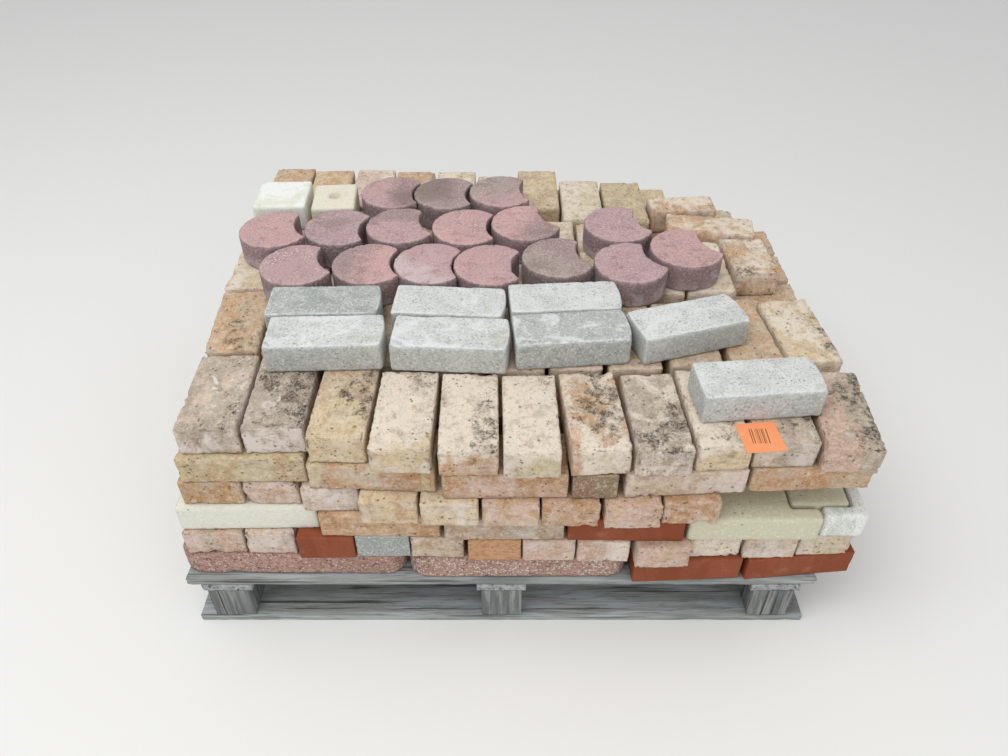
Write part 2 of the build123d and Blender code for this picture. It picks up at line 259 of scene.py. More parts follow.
class Surface(Graph):
    """A material with one Principled shader, whose colour is laid on in thin coats."""

    def __init__(self, name, colour=None):
        self.colour = colour
        self.material = bpy.data.materials.new(name)
        self.material.use_nodes = True
        super().__init__(self.material.node_tree)
        self.shader = self.tree.nodes["Principled BSDF"]
        self.shader.inputs["Specular IOR Level"].default_value = 0.25

    def read(self, name, output="Fac"):
        return self.add("ShaderNodeAttribute", {}, output, attribute_name=name)

    def grain_at(self):
        return self.read("grain_at", "Vector")

    def upward(self):
        """How far the surface faces up, from 0 to 1."""
        normal = self.add("ShaderNodeNewGeometry", {}, "Normal")
        return self.step(self.parts(normal)[2], 0.55, 0.9)

    def cover(self, share, over):
        """Lay a share of a colour over what is there."""
        self.colour = self.blend(share, self.colour, over)

    def above(self, pattern, low, high, share, over):
        """Lay up to a share of a colour over it as the pattern rises from low to high."""
        self.cover(self.step(pattern, low, high, 0, share), over)

    def below(self, pattern, low, high, share, over):
        """Lay up to a share of a colour over it as the pattern falls from high to low."""
        self.cover(self.step(pattern, low, high, share, 0), over)

    def rubbed(self, pattern, low, high, share, least=0):
        """How far an arris is rubbed, more as the pattern rises from low to high."""
        return self.times(self.read("edge"), self.step(pattern, low, high, least, share))

    def pits(self, at, scale, size, crowd_scale, crowd):
        """Round pits that lie in crowds: size and crowd are the two ends of a step."""
        pit = self.step(self.cells(at, scale), *size, 1, 0)
        return self.times(pit, self.step(self.noise(at, crowd_scale), *crowd))

    def own_tones(self):
        """The piece's first and second tone."""
        return self.read("first_tone", "Color"), self.read("second_tone", "Color")

    def two_tones(self, scale, detail=5, low=0.45, high=0.57):
        """The piece's two tones in upright patches, more of the second where it leans to."""
        axis = self.read("leaning", "Vector")
        lean = self.vector("DOT_PRODUCT", self.read("plan", "Vector"), axis, "Value")
        upright = self.stretched(self.grain_at(), (1, 1, 0.4))
        patch = self.plus(self.noise(upright, scale, detail, 0.6, 0.5), lean)
        return self.blend(self.step(patch, low, high), *self.own_tones())

    def soot_field(self, scale=13, spread=2.2):
        """From 0 to 1 towards a spot of the piece: soot on bricks, painted shade in a firebrick's
        hollow, and darker or tan patches on others.
        """
        x, y, reach = self.parts(self.read("soot_at", "Vector"))
        gap = self.vector("SUBTRACT", self.read("plan", "Vector"), self.joined(x, y, 0))
        gap = self.length(self.stretched(gap, (1, 1, 0)))
        at = self.away(self.grain_at(), (1.3, 4.7, 2.2))
        drift = self.times(self.minus(self.noise(at, scale, 7, 0.72), 0.5), spread)
        return self.step(self.plus(self.minus(reach, gap), drift), -0.14, 0.2)

    def finish(self, roughness, height=None, depth=None):
        self.put(self.shader.inputs["Base Color"], self.colour)
        self.put(self.shader.inputs["Roughness"], roughness)
        if height is not None:
            values = {"Height": height, "Distance": depth}
            self.put(self.shader.inputs["Normal"], self.add("ShaderNodeBump", values))
        return self.material


# Materials: noise scales are in waves a metre, and depths in metres

def clay(s, at, side):
    """Lay the clay of a reclaimed brick, and tell how high it stands."""
    s.colour = s.two_tones(17, 6, 0.44, 0.58)
    # Dirt a hand wide, blotches a finger wide, then crumbs and sand
    grime = s.noise(s.away(at, (6, 2, 3)), 24, 6, 0.7, 0.6)
    s.above(grime, 0.5, 0.68, 0.4, grime_brown)
    blotch = s.noise(at, 58, 6, 0.68)
    s.above(blotch, 0.51, 0.66, 0.38, clay_dark)
    s.below(blotch, 0.35, 0.48, 0.4, cream)
    crumb = s.noise(s.away(at, (1, 3, 8)), 125, 5, 0.8)
    s.above(crumb, 0.54, 0.62, 0.3, clay_dark)
    s.below(crumb, 0.4, 0.46, 0.34, lime_white)
    grain = s.noise(at, 250, 5, 0.8)
    s.above(grain, 0.53, 0.66, 0.4, clay_dark)
    s.below(grain, 0.36, 0.47, 0.46, lime_white)
    # The faces that were cut from the clay have faint level drag lines
    drag = s.noise(s.stretched(at, (0.22, 0.22, 1)), 120, 5, 0.7)
    s.cover(s.times(s.step(drag, 0.52, 0.62, 0, 0.34), side), clay_dark)
    # Fresh breaks are redder, and rubbed arrises a little paler
    s.cover(s.times(s.read("chip"), 0.4), fresh_break)
    s.cover(s.rubbed(s.noise(at, 70, 3), 0.44, 0.6, 0.3), lime_white)
    return s.plus(s.times(grain, 0.5), s.plus(s.times(blotch, 0.8), s.times(crumb, 0.6)))


def limed(s, at, up, side):
    """Lay mortar: a lilac wash, mostly on upright faces and partly painted light there, and crisp
    cream flecks, which it gives back.
    """
    mortar = s.read("mortar")
    wash_and_light = s.step(s.noise(s.away(at, (3.1, 1.7, 0.4)), 21, 7, 0.72, 0.4), 0.43, 0.6)
    # Upright faces get most of the wash: mortar, and partly painted light on the fronts
    wash_and_light = s.times(wash_and_light, mortar, s.plus(s.times(side, 0.72), 0.12))
    s.cover(wash_and_light, mortar_wash_and_light)
    fleck = s.step(s.noise(s.away(at, (0.4, 2.2, 5)), 34, 6, 0.72, 0.3), 0.575, 0.62)
    fleck = s.times(fleck, mortar, s.plus(s.times(up, 0.6), 0.35))
    s.cover(fleck, lime_white)
    return fleck


def sooty(s, at, up):
    """Lay soot: a haze around soot_at with fine ragged specks, which it gives back."""
    soot = s.read("soot")
    field = s.math("MINIMUM", s.times(s.soot_field(), soot), 1)
    field = s.times(field, s.plus(s.times(up, 0.45), 0.55))
    clump = s.noise(s.away(at, (7, 3, 1)), 46, 6, 0.72)
    field = s.times(field, s.step(clump, 0.43, 0.57, 0.15, 1))
    s.cover(s.times(field, 0.42), soot_haze)
    speck = s.noise(s.away(at, (2, 0.6, 1)), 190, 8, 0.92)
    speck = s.step(s.plus(speck, s.times(field, 0.045)), 0.54, 0.575)
    dirt = s.times(field, speck, 0.84)
    s.cover(dirt, soot_black)
    # Stray specks crowd in places anywhere, and a crust sits on the arrises
    stray = s.noise(s.away(at, (5, 1.6, 0.3)), 150, 6, 0.85)
    crowd = s.step(s.noise(s.away(at, (9, 0.6, 2.3)), 19, 3), 0.5, 0.66, 0, 0.08)
    stray = s.step(s.plus(stray, crowd), 0.625, 0.665)
    stray = s.times(stray, s.plus(s.times(soot, 0.45), 0.08))
    crust = s.times(s.rubbed(clump, 0.55, 0.61, 1), s.times(soot, 0.55))
    stray = s.math("MINIMUM", s.math("MAXIMUM", stray, crust), 0.8)
    s.cover(stray, soot_black)
    return dirt


def brick_surface():
    """Reclaimed brick."""
    s = Surface("reclaimed_brick")
    at = s.grain_at()
    up = s.upward()
    side = s.minus(1, up)
    height = clay(s, at, side)
    fleck = limed(s, at, up, side)
    dirt = sooty(s, at, up)
    # Pits are painted dark inside: painted shade
    pit = s.pits(at, 105, (0.16, 0.3), 50, (0.54, 0.6))
    s.cover(s.times(pit, 0.6), pit_shade)
    height = s.minus(height, s.plus(s.times(pit, 0.8), s.times(dirt, 0.2)))
    height = s.plus(height, s.times(fleck, 0.25))
    return s.finish(0.93, height, 0.0024)


def smooth_brick_surface():
    """Smooth terracotta brick with a faint bloom."""
    s = Surface("smooth_terracotta")
    at = s.grain_at()
    s.colour = s.two_tones(13)
    grain = s.noise(at, 250, 4, 0.6)
    s.above(grain, 0.52, 0.72, 0.4, terracotta_dark)
    dust = s.step(s.noise(at, 30, 6, 0.7), 0.54, 0.72, 0, 0.4)
    s.cover(s.times(dust, s.read("mortar")), terracotta_dust)
    s.cover(s.times(s.read("edge"), 0.25), terracotta_pale)
    return s.finish(0.76, grain, 0.0005)


def combed_brick_surface():
    """Orange brick whose face has fine combed lines along it."""
    s = Surface("combed_brick")
    at = s.grain_at()
    comb = s.noise(s.stretched(at, (0.25, 0.25, 1)), 360, 4, 0.75)
    s.colour = s.blend(s.step(comb, 0.42, 0.6), *s.own_tones())
    s.below(comb, 0.34, 0.44, 0.6, combed_dark)
    s.above(s.noise(at, 26, 5, 0.7), 0.52, 0.7, 0.35, combed_pale)
    return s.finish(0.9, comb, 0.0022)


def firebrick_surface():
    """Dense pale firebrick with small holes, a little soil, painted shade in a hollow and a dark
    tan corner.
    """
    s = Surface("pale_firebrick")
    at = s.grain_at()
    s.colour = s.two_tones(13)
    grain = s.noise(at, 210, 5, 0.7)
    s.above(grain, 0.52, 0.66, 0.36, fire_shade)
    s.below(grain, 0.36, 0.46, 0.5, chalk_white)
    soil = s.step(s.noise(at, 30, 6, 0.7), 0.56, 0.72, 0, 0.34)
    rub = s.times(s.read("edge"), s.times(s.read("mortar"), 0.5))
    s.cover(s.math("MAXIMUM", soil, rub), fire_soil)
    # Holes are painted dark inside: painted shade
    hole = s.pits(at, 62, (0.08, 0.16), 24, (0.57, 0.62))
    s.cover(s.times(hole, 0.5), fire_hole_shade)
    # A smooth dark tan spot: painted shade in the dimpled one's hollow, and a darker corner on
    # the white half one
    dark_spot = s.times(s.soot_field(20, 0.12), s.read("soot"))
    s.cover(s.math("MINIMUM", dark_spot, 0.9), fire_tan_spot)
    s.cover(s.times(s.read("chip"), 0.35), fire_yellow)
    return s.finish(0.88, s.minus(grain, hole), 0.0012)


def paver_surface():
    """Grey concrete: pale cement skin over sand, with dark grains, scuffs and rubbed arrises."""
    s = Surface("grey_concrete")
    at = s.grain_at()
    up = s.upward()
    s.colour = s.two_tones(16, 6, 0.42, 0.62)
    # The sides are painted darker than the top: painted shade
    s.cover(s.times(s.minus(1, up), 0.45), paver_cloud)
    cloud = s.noise(s.away(at, (1.9, 0.2, 6)), 30, 6, 0.7)
    s.above(cloud, 0.5, 0.68, 0.4, paver_cloud)
    sand = s.noise(at, 230, 4, 0.75)
    s.above(sand, 0.52, 0.64, 0.52, paver_dark)
    s.below(sand, 0.36, 0.48, 0.56, cement_white)
    # Pores are painted dark inside: painted shade
    pore = s.pits(at, 150, (0.16, 0.3), 60, (0.54, 0.62))
    s.cover(s.times(pore, 0.5), paver_pore_shade)
    # Scuffed cement on the top, a greenish tan patch at the right end and pale rubbed arrises
    scuff = s.step(s.noise(s.away(at, (0.7, 2.9, 1.1)), 15, 5, 0.6, 1.2), 0.5, 0.64)
    scuff = s.times(scuff, s.read("mortar"), s.plus(s.times(up, 0.55), 0.15))
    s.cover(scuff, cement_white)
    tan_patch = s.times(s.soot_field(), s.read("soot"))
    s.cover(s.times(tan_patch, 0.55), paver_tan_patch)
    rub = s.rubbed(s.noise(at, 60, 4), 0.38, 0.54, 0.8, 0.2)
    s.cover(s.times(rub, s.plus(s.times(up, 0.6), 0.4)), cement_white)
    return s.finish(0.94, s.minus(sand, s.times(pore, 0.5)), 0.0022)


def corner_block_surface():
    """White concrete speckled with dark and pale grit."""
    s = Surface("speckled_concrete")
    at = s.grain_at()
    s.colour = s.two_tones(16)
    grit = s.noise(at, 240, 5, 0.85)
    s.above(grit, 0.52, 0.6, 0.5, block_grit)
    s.below(grit, 0.4, 0.47, 0.5, chalk_white)
    s.above(s.noise(at, 28, 6, 0.7), 0.52, 0.7, 0.35, block_soil)
    return s.finish(0.93, grit, 0.0016)


def crescent_surface():
    """Rose-coloured concrete: sandy top with beige grit, greyer sides painted darker as painted
    shade, with a pale dusty foot.
    """
    s = Surface("rose_concrete")
    at = s.grain_at()
    up = s.upward()
    side = s.minus(1, up)
    height = s.parts(s.read("plan", "Vector"))[2]
    s.colour = s.two_tones(13, 5, 0.36, 0.68)
    # The sides are greyer and smeared by the mould, painted darker as painted shade, and dusty
    # towards the foot
    smear = s.noise(s.away(at, (4, 0.7, 2.6)), 22, 6, 0.65, 0.6)
    shaded_side_tone = s.blend(s.step(smear, 0.42, 0.6), shaded_crescent_side, shaded_crescent_side_warm)
    s.cover(s.times(side, 0.8), shaded_side_tone)
    foot = s.step(s.plus(height, s.times(s.minus(smear, 0.5), 2.6)), -0.45, 0.1, 0.75, 0)
    s.cover(s.times(foot, side), crescent_foot)
    s.above(s.noise(at, 34, 6, 0.68), 0.5, 0.68, 0.46, crescent_dark)
    sand = s.noise(at, 240, 4, 0.75)
    s.above(sand, 0.52, 0.66, 0.44, crescent_dark)
    s.below(sand, 0.4, 0.48, 0.38, crescent_fleck)
    # Beige grit shows where the skin has worn off
    grit = s.step(s.cells(at, 165), 0.24, 0.36, 1, 0)
    worn = s.step(s.noise(s.away(at, (2.1, 0.9, 1.7)), 17, 4, 0.6), 0.46, 0.6)
    bare = s.times(s.read("mortar"), s.plus(s.times(up, 0.7), 0.1))
    grit = s.times(grit, worn, bare)
    s.cover(grit, crescent_fleck)
    shade = s.times(s.soot_field(11, 0.8), s.read("soot"))
    s.cover(s.times(shade, 0.55), crescent_shade)
    s.cover(s.rubbed(s.noise(at, 60, 4), 0.48, 0.62, 0.22), crescent_fleck)
    return s.finish(0.94, s.plus(sand, s.times(grit, 0.3)), 0.0018)


def slab_surface():
    """Exposed aggregate: pink cement packed with cream, brown and dark grit."""
    s = Surface("exposed_aggregate")
    at = s.grain_at()
    s.colour = s.two_tones(9, 4)
    # Each pebble has a random colour, whose three parts pick the tone that it gets
    pebbles = s.cells(at, 215).node.outputs
    red, green, blue = s.parts(pebbles["Color"])
    stone = s.step(pebbles["Distance"], 0.4, 0.62, 1, 0)
    white = s.plus(red, s.times(s.read("mortar"), 0.25))
    for pick, low, high, share, over in ((white, 0.54, 0.62, 0.8, pebble_white),
                                         (green, 0.62, 0.68, 0.7, pebble_red),
                                         (blue, 0.91, 0.94, 0.8, pebble_dark)):
        s.cover(s.times(stone, s.step(pick, low, high, 0, share)), over)
    sand = s.noise(at, 260, 4, 0.7)
    s.above(sand, 0.54, 0.68, 0.35, pebble_red)
    s.above(s.noise(at, 34, 5, 0.65), 0.54, 0.72, 0.32, slab_soil)
    return s.finish(0.92, s.plus(stone, s.times(sand, 0.5)), 0.0022)


def wood_surface():
    """Silver-grey softwood with dark lines, checks and stains along the axis it leans to."""
    s = Surface("weathered_softwood")
    axis = s.read("leaning", "Vector")

    def drawn_out(share):
        """The place in the grain, with this share taken off along the axis."""
        return s.stretched(s.grain_at(), s.away(s.scaled(axis, -share), (1, 1, 1)))

    at = drawn_out(0.94)
    ring = s.noise(at, 80, 5, 0.6, 0.6)
    s.colour = s.blend(s.step(ring, 0.38, 0.6), *s.own_tones())
    fibre = s.noise(at, 300, 4, 0.7)
    s.above(fibre, 0.52, 0.68, 0.6, wood_dark)
    # Checks are painted near black inside: painted shade in the cracks
    check = s.step(s.noise(drawn_out(0.98), 130, 3), 0.6, 0.66)
    s.cover(s.times(check, 0.75), wood_check_shade)
    s.above(s.noise(drawn_out(0.6), 10, 5), 0.5, 0.68, 0.55, wood_brown)
    height = s.minus(s.plus(s.times(fibre, 0.5), ring), check)
    return s.finish(0.9, height, 0.0014)


def tag_surface(corner):
    """Matt orange paper with plain dark bars, measured from its front left corner."""
    s = Surface("orange_tag")
    place = s.add("ShaderNodeTexCoord", {}, "Object")
    x, y, z = s.parts(place)
    across = s.minus(x, corner.x)
    along = s.minus(y, corner.y)

    def between(value, low, high):
        rise = s.step(value, low, low + print_blur)
        return s.times(rise, s.step(value, high, high + print_blur, 1, 0))

    bar = s.step(s.noise(s.joined(s.times(across, 60), 0, 0), 9, 1), 0.5, 0.52)
    bars = s.times(bar, between(across, *print_across), between(along, *print_along))
    s.colour = tag_orange
    s.above(s.noise(place, 60, 3), 0.45, 0.7, 0.6, tag_faded)
    s.cover(s.times(bars, 0.8), tag_dark)
    return s.finish(0.62)


# Reading the CAD: which pieces a node holds, and how each one lies

class Piece:
    """One solid of a CAD node: its corners and faces, and how it lies."""

    def __init__(self, faces):
        corners = list({vert for face in faces for vert in face.verts})
        order = {vert: number for number, vert in enumerate(corners)}
        self.points = [vert.co.copy() for vert in corners]
        self.faces = [[order[vert] for vert in face.verts] for face in faces]
        self.front = min(point.y for point in self.points)
        self.turn = 0.0
        self.sides = {}
        for face in faces:
            if abs(face.normal.z) < 0.01:
                turn = round(math.degrees(math.atan2(face.normal.y, face.normal.x)) % 180, 1)
                self.sides[turn] = self.sides.get(turn, 0) + face.calc_area()
        self.measure()

    def measure(self):
        """Centre and size as seen along its own turn."""
        along = Vector((math.cos(self.turn), math.sin(self.turn), 0))
        aside = Vector((-along.y, along.x, 0))
        self.centre = Vector()
        self.size = Vector()
        for number, axis in enumerate((along, aside, Vector((0, 0, 1)))):
            reach = [point.dot(axis) for point in self.points]
            self.centre += axis * (min(reach) + max(reach)) / 2
            self.size[number] = max(reach) - min(reach)

    def turn_along(self):
        """Take the long side as its own X, which points right or away from the front."""
        self.turn = math.radians(max(self.sides, key=self.sides.get) - 90)
        if self.turn < -math.pi / 4:
            self.turn += math.pi
        self.measure()


def pieces_of(node, blocks):
    """The separate solids of a CAD node, from left to right."""
    mesh = bmesh.new()
    mesh.from_mesh(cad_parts[node].data)
    bmesh.ops.remove_doubles(mesh, verts=mesh.verts, dist=1e-5)
    left = set(mesh.faces)
    found = []
    while left:
        start = left.pop()
        group, border = [start], [start]
        while border:
            for edge in border.pop().edges:
                for face in edge.link_faces:
                    if face in left:
                        left.discard(face)
                        group.append(face)
                        border.append(face)
        found.append(Piece(group))
    mesh.free()
    for piece in found:
        if blocks:
            piece.turn_along()
    return sorted(found, key=lambda piece: (round(piece.centre.x, 4), piece.centre.y))


class Look:
    """How one piece looks: its two tones, its soot, which on a few pieces is painted shade
    instead, and how mortared and worn it is.

    It leans to its second tone towards the right, the back and the top by the numbers of leaning.
    Its soot, and the painted shade of a few pieces, lies around the spot given after leaning: a
    place across it, from -0.5 to 0.5, and a reach.
    """

    def __init__(self, first_tone, second_tone, soot=0.3, mortar=0.3, wear=0.6,
                 leaning=(0, 0, 0), soot_at=(0, 0, -0.2), corner=0.0001):
        self.first_tone, self.second_tone = first_tone, second_tone
        self.soot, self.mortar, self.wear = soot, mortar, wear
        self.leaning, self.soot_at, self.corner = leaning, soot_at, corner


# What the materials read from each piece
look_columns = {
    "soot": "FLOAT", "mortar": "FLOAT", "wear": "FLOAT", "corner": "FLOAT",
    "leaning": "FLOAT_VECTOR", "soot_at": "FLOAT_VECTOR",
    "first_tone": "FLOAT_COLOR", "second_tone": "FLOAT_COLOR",
}
value_names = {"FLOAT": "value", "FLOAT_VECTOR": "vector", "FLOAT_COLOR": "color"}


def add_column(mesh, name, kind, values):
    """Store one value per point of a mesh."""
    for item, value in zip(mesh.attributes.new(name, kind, "POINT").data, values):
        setattr(item, value_names[kind], value)


def linked(name, data):
    thing = bpy.data.objects.new(name, data)
    bpy.context.scene.collection.objects.link(thing)
    return thing


def carriers(name, pieces, looks, near, draw):
    """A mesh with one point at the centre of each piece, which carries that piece's look."""
    mesh = bpy.data.meshes.new(name)
    mesh.from_pydata([piece.centre for piece in pieces], [], [])
    add_column(mesh, "size", "FLOAT_VECTOR", [piece.size for piece in pieces])
    add_column(mesh, "centre", "FLOAT_VECTOR", [piece.centre for piece in pieces])
    add_column(mesh, "turn", "FLOAT", [piece.turn for piece in pieces])
    add_column(mesh, "seed", "FLOAT", [draw.random() for piece in pieces])
    add_column(mesh, "near", "FLOAT", [float(piece.front < near) for piece in pieces])
    for column, kind in look_columns.items():
        add_column(mesh, column, kind, [getattr(look, column) for look in looks])
    return linked(name, mesh)


# Geometry Nodes: bricks, slabs and boards from a worn block, castings from a remeshed solid

class Shaper(Graph):
    """A geometry tree. The first value of an input tells its kind."""

    kinds = {int: "NodeSocketInt", float: "NodeSocketFloat", tuple: "NodeSocketVector",
             type(None): "NodeSocketMaterial"}

    def __init__(self, name, inputs):
        tree = bpy.data.node_groups.new(name, "GeometryNodeTree")
        tree.interface.new_socket("Geometry", in_out="INPUT", socket_type="NodeSocketGeometry")
        tree.interface.new_socket("Geometry", in_out="OUTPUT", socket_type="NodeSocketGeometry")
        for label, value in inputs.items():
            kind = self.kinds[type(value)]
            socket = tree.interface.new_socket(label, in_out="INPUT", socket_type=kind)
            self.put(socket, value)
        super().__init__(tree)
        self.given = tree.nodes.new("NodeGroupInput").outputs
        self.result = tree.nodes.new("NodeGroupOutput").inputs["Geometry"]

    def named(self, name, kind="FLOAT"):
        values = {"Name": name}
        return self.add("GeometryNodeInputNamedAttribute", values, "Attribute", data_type=kind)

    def store(self, geometry, name, value, kind="FLOAT"):
        values = {"Geometry": geometry, "Name": name, "Value": value}
        return self.add("GeometryNodeStoreNamedAttribute", values, "Geometry", data_type=kind)

    def turned(self, vector):
        """A vector of the piece's own, as it lies on the pallet."""
        values = {"Vector": vector, "Angle": self.named("turn")}
        return self.add("ShaderNodeVectorRotate", values, rotation_type="Z_AXIS")

    def blurred(self, value, times):
        values = {"Value": value, "Iterations": times}
        return self.add("GeometryNodeBlurAttribute", values, "Value", data_type="FLOAT_VECTOR")

    def moved(self, geometry, key, value):
        """Geometry with its points at new places, or moved by an offset."""
        return self.add("GeometryNodeSetPosition", {"Geometry": geometry, key: value}, "Geometry")

    def close(self, geometry):
        values = {"Geometry": geometry, "Material": self.given["Material"]}
        self.put(self.result, self.add("GeometryNodeSetMaterial", values, "Geometry"))
        return self.tree


def grown_cube(g, cuts):
    """A cube of size 1 whose grid lines crowd a little towards the arrises."""
    values = dict(zip(("Size", "Vertices X", "Vertices Y", "Vertices Z"), ((1, 1, 1), *cuts)))
    cube = g.add("GeometryNodeMeshCube", values, "Mesh")
    spot = g.add("GeometryNodeInputPosition", {})
    wave = g.vector("SINE", g.scaled(spot, math.pi))
    spot = g.vector("ADD", g.scaled(spot, 0.5), g.scaled(wave, arris_crowding))
    return g.store(cube, "unit", spot, "FLOAT_VECTOR")


def broken_edges(g, at):
    """How much wider the arris is where small chips and larger breaks are gone."""
    ripple = g.times(g.step(g.noise(at, 130, 2), 0.35, 0.7), chip_ripple)
    small = g.step(g.noise(at, g.given["Chip Scale"], 3, 0.65), 0.52, 0.6)
    large = g.step(g.noise(g.away(at, (2, 7, 1)), 15, 5, 0.65), 0.57, 0.63)
    lost = g.plus(g.times(small, g.given["Chip Size"]), g.times(large, g.given["Break Size"]))
    return g.plus(ripple, lost), g.math("MAXIMUM", g.times(small, 0.6), large)


def rounded_plan(g, spot, half, corner):
    """Rounds the upright corners of a block, seen from above."""
    x, y, z = g.parts(spot)
    flat = g.joined(x, y, 0)
    room = g.vector("SUBTRACT", half, g.joined(corner, corner, 0))
    core = g.stretched(g.clamped(flat, room), (1, 1, 0))
    away = g.vector("SUBTRACT", flat, core)
    reach = g.math("MAXIMUM", g.length(away), tiny)
    away_x, away_y, away_z = g.parts(g.vector("ABSOLUTE", away))
    kept = g.math("DIVIDE", g.math("MAXIMUM", away_x, away_y), reach)
    return g.vector("ADD", g.vector("ADD", core, g.scaled(away, kept)), g.joined(0, 0, z))


def grain_place(g, local):
    """Where a piece takes its grain from, far from every other piece's."""
    seed = g.named("seed")
    shift = g.scaled(g.stretched(g.joined(seed, seed, seed), seed_stride), grain_spread)
    return g.vector("ADD", local, shift)


def laid_cubes(g):
    """A cube on each carrier point, finer on the near ones, as one mesh."""
    cuts = [g.given["Cuts Along"], g.given["Cuts Across"], g.given["Cuts High"]]
    coarse = [g.math("CEIL", g.times(count, far_share)) for count in cuts]
    near = g.named("near")
    joint = g.tree.nodes.new("GeometryNodeJoinGeometry")
    for grid, share in ((cuts, near), (coarse, g.minus(1, near))):
        values = {"Points": g.given["Geometry"], "Instance": grown_cube(g, grid),
                  "Selection": share}
        laid = g.add("GeometryNodeInstanceOnPoints", values, "Instances")
        g.put(joint.inputs["Geometry"], laid)
    body = joint.outputs["Geometry"]
    return g.add("GeometryNodeRealizeInstances", {"Geometry": body}, "Geometry")


def rounded_block(g, local, half, radius):
    """Rounds the arrises of a block: the new place, the way out of it and how near an arris."""
    half_x, half_y, half_z = g.parts(half)
    thinnest = g.math("MINIMUM", g.math("MINIMUM", half_x, half_y), half_z)
    radius = g.math("MINIMUM", radius, g.times(thinnest, 0.9))
    core = g.clamped(local, g.vector("SUBTRACT", half, g.joined(radius, radius, radius)))
    away = g.vector("SUBTRACT", local, core)
    reach = g.math("MAXIMUM", g.length(away), tiny)
    outward = g.scaled(away, g.math("DIVIDE", 1, reach))
    edge = g.step(g.math("DIVIDE", reach, radius), *arris_band)
    return g.vector("ADD", core, g.scaled(outward, radius)), outward, edge


def bulged(g, spot, unit):
    """Draws one long end in beside its middle, so that the middle stands out."""
    x, y, z = g.parts(unit)
    drawn_in = g.times(g.math("POWER", g.times(y, 2), 2), g.given["Bulge"])
    drawn_in = g.times(drawn_in, g.math("MAXIMUM", g.times(x, 2), 0))
    return g.vector("SUBTRACT", spot, g.joined(drawn_in, 0, 0))


def worn_block_tree():
    """Puts a worn block on each carrier point: rounded, chipped, warped and pitted."""
    g = Shaper("worn_blocks", {
        "Cuts Along": 30, "Cuts Across": 16, "Cuts High": 10, "Arris": 0.004,
        "Chip Size": 0.004, "Chip Scale": 75.0, "Break Size": 0.012, "Warp": 0.0012,
        "Roughening": 0.0009, "Bulge": 0.0, "Material": None})
    given = g.given
    body = laid_cubes(g)
    size = g.named("size", "FLOAT_VECTOR")
    unit = g.named("unit", "FLOAT_VECTOR")
    half = g.scaled(size, 0.5)
    local = g.stretched(unit, size)
    body = g.store(body, "grain_at", grain_place(g, local), "FLOAT_VECTOR")
    body = g.store(body, "plan", g.turned(unit), "FLOAT_VECTOR")
    at = g.named("grain_at", "FLOAT_VECTOR")
    wear = g.named("wear")
    lost, broken = broken_edges(g, at)
    radius = g.plus(given["Arris"], g.times(lost, wear))
    worn, outward, edge = rounded_block(g, local, half, radius)
    body = g.store(body, "edge", edge)
    body = g.store(body, "chip", g.times(edge, g.times(broken, wear)))
    # Faces are a little hollow and rough, and broken edges are rougher
    hollow = g.times(g.noise(at, 9, 2), given["Warp"])
    rough = g.times(g.step(g.noise(at, 90, 4, 0.65), 0.42, 0.78), given["Roughening"])
    rough = g.times(rough, g.plus(g.plus(0.4, wear), g.times(edge, broken, 3)))
    worn = g.vector("SUBTRACT", worn, g.scaled(outward, g.plus(hollow, rough)))
    worn = rounded_plan(g, bulged(g, worn, unit), half, g.named("corner"))
    placed = g.vector("ADD", g.turned(worn), g.named("centre", "FLOAT_VECTOR"))
    return g.close(g.moved(body, "Position", placed))


def worn_casting_tree():
    """Wears the remeshed copy of one cast piece."""
    g = Shaper("worn_castings", {
        "Centre": (0.0, 0.0, 0.0), "Size": (1.0, 1.0, 1.0), "Seed": 0.5, "Wear": 0.6,
        "Softening": 1, "Chip Depth": 0.004, "Roughening": 0.0009, "Material": None})
    given = g.given
    spot = g.add("GeometryNodeInputPosition", {})
    local = g.vector("SUBTRACT", spot, given["Centre"])
    body = g.store(given["Geometry"], "seed", given["Seed"])
    body = g.store(body, "grain_at", grain_place(g, local), "FLOAT_VECTOR")
    body = g.store(body, "plan", g.vector("DIVIDE", local, given["Size"]), "FLOAT_VECTOR")
    # Blurring the places softens the arrises, and shows where they are
    body = g.moved(body, "Position", g.blurred(spot, given["Softening"]))
    at = g.named("grain_at", "FLOAT_VECTOR")
    shift = g.length(g.vector("SUBTRACT", g.blurred(spot, arris_blur), spot))
    body = g.store(body, "edge", g.step(shift, *arris_shift))
    broken = g.step(g.noise(at, 46, 4, 0.65), 0.55, 0.64)
    body = g.store(body, "chip", g.times(g.named("edge"), broken, given["Wear"]))
    rough = g.times(g.step(g.noise(at, 120, 4, 0.65), 0.42, 0.8), given["Roughening"])
    depth = g.plus(g.times(g.named("chip"), given["Chip Depth"]), rough)
    normal = g.add("GeometryNodeInputNormal", {})
    return g.close(g.moved(body, "Offset", g.scaled(normal, g.times(depth, -1))))


def plain_mesh(thing):
    """The mesh that an object's modifiers make, with the object taken away."""
    evaluated = thing.evaluated_get(bpy.context.evaluated_depsgraph_get())
    mesh = bpy.data.meshes.new_from_object(evaluated)
    bpy.data.objects.remove(thing)
    for face in mesh.polygons:
        face.use_smooth = True
    return mesh


def stand_for(thing, node):
    """Let an object stand for its CAD node."""
    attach(thing, "root")
    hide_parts(node)


def wear_down(thing, tree, inputs):
    """Give an object a geometry tree, with inputs by the names of the tree's sockets."""
    modifier = thing.modifiers.new("worn", "NODES")
    modifier.node_group = tree
    for socket in tree.interface.items_tree:
        if socket.item_type == "SOCKET" and socket.in_out == "INPUT" and socket.name in inputs:
            modifier[socket.identifier] = inputs[socket.name]


def lay_blocks(node, looks, inputs, material, seed, grid=brick_grid, near=1.0):
    """Bricks, slabs or boards of a node, finest where they start before the line near."""
    draw = random.Random(seed)
    pieces = pieces_of(node, blocks=True)
    thing = carriers(node + "_carriers", pieces, looks(pieces, draw), near, draw)
    cuts = dict(zip(("Cuts Along", "Cuts Across", "Cuts High"), grid))
    wear_down(thing, block_tree, {**cuts, **inputs, "Material": material})
    stand_for(linked(node + "_worn", plain_mesh(thing)), node)


